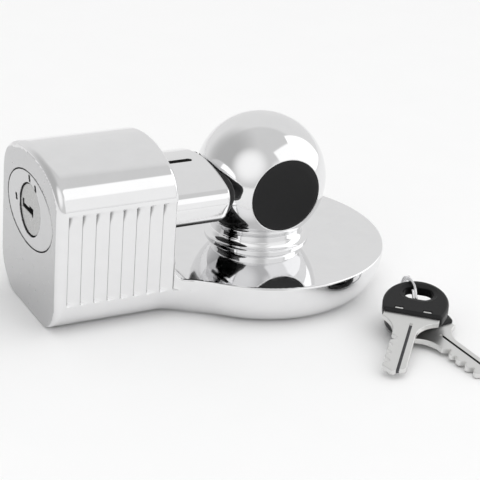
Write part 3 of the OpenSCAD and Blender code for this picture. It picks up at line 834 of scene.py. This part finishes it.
def in_seat(x, y, z):
    return (hypot(y, z - LOCK_Z) < PLUG_R + 0.55) & (x > KEY_END_X + 0.2)


def in_keyway(x, y, z):
    return (keyway(y, z) < 0.02) & (x > PLUG_LO[0] + 0.3) & (x < KEYWAY_X1 - 0.3)


def in_groove(x, y, z):
    return (abs(y - GROOVE_Y) < GROOVE_HALF) & (x > GROOVE_X0 + 0.5) & (abs(z) < BLADE_T / 2 - 0.25)


casting = field_object("chrome_casting", base_casting, CAST_LO, CAST_HI - (0, 0, 2), CASTING_STEP,
                       (None, None, (PLATE_EDGE_Z, PLATE_T + 0.2)), 0.25)
join_into(casting, lathe("neck", neck_profile()))
join_into(casting, lathe("ball", ball_profile(), lambda x, y, z: (x, -z, y), BALL_Z))
# the casting's chrome carries painted shade in the flutes' inner corners
dress(casting, "base_casting", chrome_with_flute_shade())
# painted shade: the end face is darker than the rest of the chrome
second_finish(casting, satin_end_with_shade, on_end_face)
# painted shade: black in the gap round the housing
second_finish(casting, painted_recess_shade, in_recess)
# the jaw's chrome carries painted shade on its underside
jaw = dress(field_object("jaw_shell", sliding_jaw, JAW_LO, JAW_HI, 0.4), "sliding_jaw", jaw_chrome_with_underside_shade())
# painted shade: black inside the jaw's slot
second_finish(jaw, painted_recess_shade, in_slot)
cap = field_object("jaw_bumper", jaw_end_cap, JAW_LO + (20, 0, 0), JAW_HI + (CAP_REACH + 0.2, 0, 0), 0.5)
dress(cap, "jaw_end_cap")
dress(field_object("ball_cup", ball_plug, BALL_PLUG_LO, BALL_PLUG_HI, 0.5), "ball_plug")
dress(field_object("underside_cover", bottom_cover, *box_mm("bottom_cover"), 0.5), "bottom_cover")
housing = dress(field_object("oval_housing", lock_housing, OVAL_LO, OVAL_HI, 0.4), "lock_housing")
# painted shade: black in the sunk index dashes and round the plug's seat
second_finish(housing, painted_recess_shade, in_marks)
second_finish(housing, painted_recess_shade, in_seat)
key_plug = dress(field_object("key_plug", lock_plug, PLUG_LO, PLUG_HI, 0.3), "lock_plug")
# painted shade: black inside the keyway
second_finish(key_plug, painted_recess_shade, in_keyway)

for letter, key in (("a", KEY_A), ("b", KEY_B)):
    head = field_object(f"key_{letter}_grip", key_head, (-HEAD_BACK, HEAD_Y - HEAD_W / 2, -HEAD_T / 2),
                        (HEAD_FLAT_X, HEAD_Y + HEAD_W / 2, HEAD_T / 2), 0.3)
    dress(place_key(head, key), f"key_{letter}_head")
    blade = field_object(f"key_{letter}_steel", key_blade, (BOW[0][0], SHOULDER_Y[0], -HEAD_T / 2),
                         (KEY_REACH, SHOULDER_Y[1], HEAD_T / 2), 0.25)
    dress(blade, f"key_{letter}_blade")
    # painted shade: the groove's floor takes the dark oxide finish
    second_finish(blade, oxide_and_groove_shade, in_groove)
    place_key(blade, key)


def coiled_ring():
    """Flat wire in two touching turns, with a step from one to the other and an end on each side of it."""
    half_t, half_b = WIRE_T / 2, WIRE_B / 4 - 0.02  # of one turn, with a hairline between the two
    soft = 0.14  # radius of the wire's edges
    corners = [(half_t - soft, half_b - soft), (-half_t + soft, half_b - soft),
               (-half_t + soft, -half_b + soft), (half_t - soft, -half_b + soft)]
    section = [(u + soft * math.cos(math.radians(90 * k + a)), v + soft * math.sin(math.radians(90 * k + a)))
               for k, (u, v) in enumerate(corners) for a in (0, 30, 60, 90)]
    gap_half, step_at = 32, 100  # degrees: half the stretch between the ends, and where its middle is
    rest, rings = 4, 220  # degrees that the step keeps clear of each end, and the number of sections
    points = []
    for i in range(rings + 1):
        sweep = gap_half + (720 - 2 * gap_half) * i / rings
        t = np.clip((sweep - 360 + gap_half - rest) / (2 * gap_half - 2 * rest), 0, 1)
        shift = (t * t * (3 - 2 * t) - 0.5) * (WIRE_B / 2)
        a = math.radians(sweep + step_at)
        trim = 0.75 if i in (0, rings) else 1.0
        for u, v in section:
            r = RING_R - half_t + u * trim
            points.append((r * math.cos(a), r * math.sin(a), shift + v * trim))
    m = len(section)
    faces = [(i * m + j, (i + 1) * m + j, (i + 1) * m + (j + 1) % m, i * m + (j + 1) % m)
             for i in range(rings) for j in range(m)]
    obj = mesh_object("coiled_ring", points, faces)
    bm = bmesh.new()
    bm.from_mesh(obj.data)
    bm.verts.ensure_lookup_table()
    bm.faces.new([bm.verts[j] for j in range(m)])
    bm.faces.new([bm.verts[rings * m + j] for j in reversed(range(m))])
    bmesh.ops.recalc_face_normals(bm, faces=bm.faces)
    bm.to_mesh(obj.data)
    bm.free()
    for face in obj.data.polygons:
        face.use_smooth = len(face.vertices) == 4
    upright = Matrix.Rotation(math.radians(90 + RING_TILT), 4, "X")
    turn = Matrix.Rotation(math.radians(RING_TURN), 4, "Z")
    obj.data.transform(Matrix.Translation(Vector(RING_AT) * MM) @ turn @ upright)
    return obj


dress(coiled_ring(), "split_ring")


def bolt_coils():
    """The two springs under the bolt's ears: round wire wound in five turns, with capped ends."""
    lo, hi = box_mm("bolt_springs")
    radius, wire, turns, steps, sides = 1.0, 0.25, 5, 24, 8
    n = turns * steps
    points, faces = [], []
    for side in (-1, 1):
        base = len(points)
        middle_x, middle_y = (lo[0] + hi[0]) / 2, side * (hi[1] - radius - wire)
        for i in range(n + 1):
            a = 2 * math.pi * i / steps
            z = lo[2] + wire + (hi[2] - lo[2] - 2 * wire) * i / n
            for j in range(sides):
                b = 2 * math.pi * j / sides
                q = radius + wire * math.cos(b)
                height = z + wire * math.sin(b)
                points.append((middle_x + q * math.cos(a), middle_y + q * math.sin(a), height))
        for i in range(n):
            for j in range(sides):
                k = (j + 1) % sides
                here, there = base + i * sides, base + (i + 1) * sides
                faces.append([here + j, there + j, there + k, here + k])
        for ring, order in ((0, 1), (n, -1)):
            for quad in ((0, 1, 2, 7), (7, 2, 3, 6), (6, 3, 4, 5)):
                faces.append([base + ring * sides + q for q in quad[::order]])
    return mesh_object("bolt_coils", points, faces)


coils = dress(bolt_coils(), "bolt_springs")
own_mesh(coils)


# ---- surroundings -----------------------------------------------------------


def plane(name, size, z):
    corners = [(-size, -size, z), (size, -size, z), (size, size, z), (-size, size, z)]
    return mesh_object(name, corners, [(0, 1, 2, 3)])


floor = plane("floor", 6000, -0.02)
floor.data.materials.append(finish_of("floor_paper", (0.93, 0.93, 0.93), 0, 0.9, 0.03, 40, tint=0.01))

TENT_LEVEL = 0.82
# A panel: azimuth, elevation and roll in degrees, half its width and height as tangents, the blur of its edge
# and its brightness. A disc: azimuth, elevation, inner and outer radius in degrees, and its brightness.
TENT = [
    (-29, 29, 83, 91, 0.7),  # the camera's half of the tent
    (-110, 30, 10, 55, 0.5),  # the dark side, beyond the key end
    (28, 22, 0, 0.34, 0.3, 0.25, 1.0),  # pale cloth in front, to the right
    (84.8, 19.3, 19, 0.32, 0.67, 0.08, 1.5),  # softbox on the right
    (40, 46.7, -9.8, 0.28, 0.22, 0.08, 1.2),  # softbox high on the right
    (-54, 36, 0.5, 36, 1.08),  # glow high on the left
]


def towards(azimuth, elevation):
    """Unit vector in a direction, in radians: azimuth 0 is -Y, and it grows towards +X."""
    flat = math.cos(elevation)
    return Vector((math.sin(azimuth) * flat, -math.cos(azimuth) * flat, math.sin(elevation)))


def tent(scene):
    """A pale studio tent: soft grey all round, with softboxes and a dark side, by direction."""
    world = bpy.data.worlds.new("tent")
    scene.world = world
    world.use_nodes = True
    tree = world.node_tree
    nodes, links = tree.nodes, tree.links
    background = nodes["Background"]
    direction = nodes.new("ShaderNodeTexCoord").outputs["Generated"]

    def dot(vector):
        node = nodes.new("ShaderNodeVectorMath")
        node.operation = "DOT_PRODUCT"
        links.new(direction, node.inputs[0])
        node.inputs[1].default_value = vector
        return node.outputs["Value"]

    def panel(azimuth, elevation, roll, half_width, half_height, blur):
        """1 inside a rectangle seen in a direction, fading to 0 over blur; sizes are tangents of angles."""
        a, e, t = math.radians(azimuth), math.radians(elevation), math.radians(roll)
        ahead = dot(towards(a, e))
        side = Vector((math.cos(a), math.sin(a), 0))
        up = Vector((-math.sin(a) * math.sin(e), math.cos(a) * math.sin(e), math.cos(e)))
        across = dot(side * math.cos(t) + up * math.sin(t))
        rise = dot(up * math.cos(t) - side * math.sin(t))
        mask = math_node(tree, "GREATER_THAN", ahead, 0.05)
        depth = math_node(tree, "MAXIMUM", ahead, 0.05)
        for value, half in ((across, half_width), (rise, half_height)):
            reach = math_node(tree, "ABSOLUTE", math_node(tree, "DIVIDE", value, depth))
            mask = math_node(tree, "MULTIPLY", mask, fade(tree, reach, half + blur, half))
        return mask

    def disc(azimuth, elevation, inner, outer):
        """1 inside inner degrees of a direction, fading to 0 at outer degrees."""
        ahead = dot(towards(math.radians(azimuth), math.radians(elevation)))
        return fade(tree, ahead, math.cos(math.radians(outer)), math.cos(math.radians(inner)))

    value = TENT_LEVEL
    for *shape, brightness in TENT:
        mask = panel(*shape) if len(shape) == 6 else disc(*shape)
        mix = nodes.new("ShaderNodeMix")
        mix.data_type = "FLOAT"
        links.new(mask, mix.inputs["Factor"])
        if isinstance(value, float):
            mix.inputs["A"].default_value = value
        else:
            links.new(value, mix.inputs["A"])
        mix.inputs["B"].default_value = brightness
        value = mix.outputs["Result"]
    links.new(value, background.inputs["Strength"])
    background.inputs["Color"].default_value = (1, 1, 1, 1)


tent(bpy.context.scene)


def area_light(name, place, aim, size, power):
    """A round lamp, in metres and watts, that reflections don't show."""
    data = bpy.data.lights.new(name, "AREA")
    data.shape, data.size, data.energy = "DISK", size, power
    lamp = bpy.data.objects.new(name, data)
    bpy.context.scene.collection.objects.link(lamp)
    lamp.location = place
    lamp.rotation_mode = "QUATERNION"
    lamp.rotation_quaternion = (Vector(aim) - Vector(place)).to_track_quat("-Z", "Y")
    lamp.visible_glossy = False


area_light("overhead", (-0.1, -0.3, 1.6), (0, 0, 0), 1.6, 6)
area_light("front", (0.5, -1.3, 0.9), (0, 0, 0), 0.9, 1.5)

SENSOR, LENS = 36, 134.05  # millimetres
AIM, DISTANCE = Vector((-0.00628, 0, 0.01386)), 0.64705  # metres
AZIMUTH, ELEVATION, ROLL = math.radians(-29.21), math.radians(24.66), math.radians(-4.33)

camera = bpy.data.objects.new("camera", bpy.data.cameras.new("camera"))
bpy.context.scene.collection.objects.link(camera)
camera.data.sensor_width, camera.data.lens = SENSOR, LENS
camera.data.clip_start, camera.data.clip_end = 0.05, 30
back = towards(AZIMUTH, ELEVATION)
level = Vector((math.cos(AZIMUTH), math.sin(AZIMUTH), 0))
upright = back.cross(level)
right = math.cos(ROLL) * level - math.sin(ROLL) * upright
up = math.sin(ROLL) * level + math.cos(ROLL) * upright
facing = Matrix((right, up, back)).transposed().to_4x4()
camera.matrix_world = Matrix.Translation(AIM + back * DISTANCE) @ facing
bpy.context.scene.camera = camera
bpy.context.scene.view_settings.view_transform = "Standard"
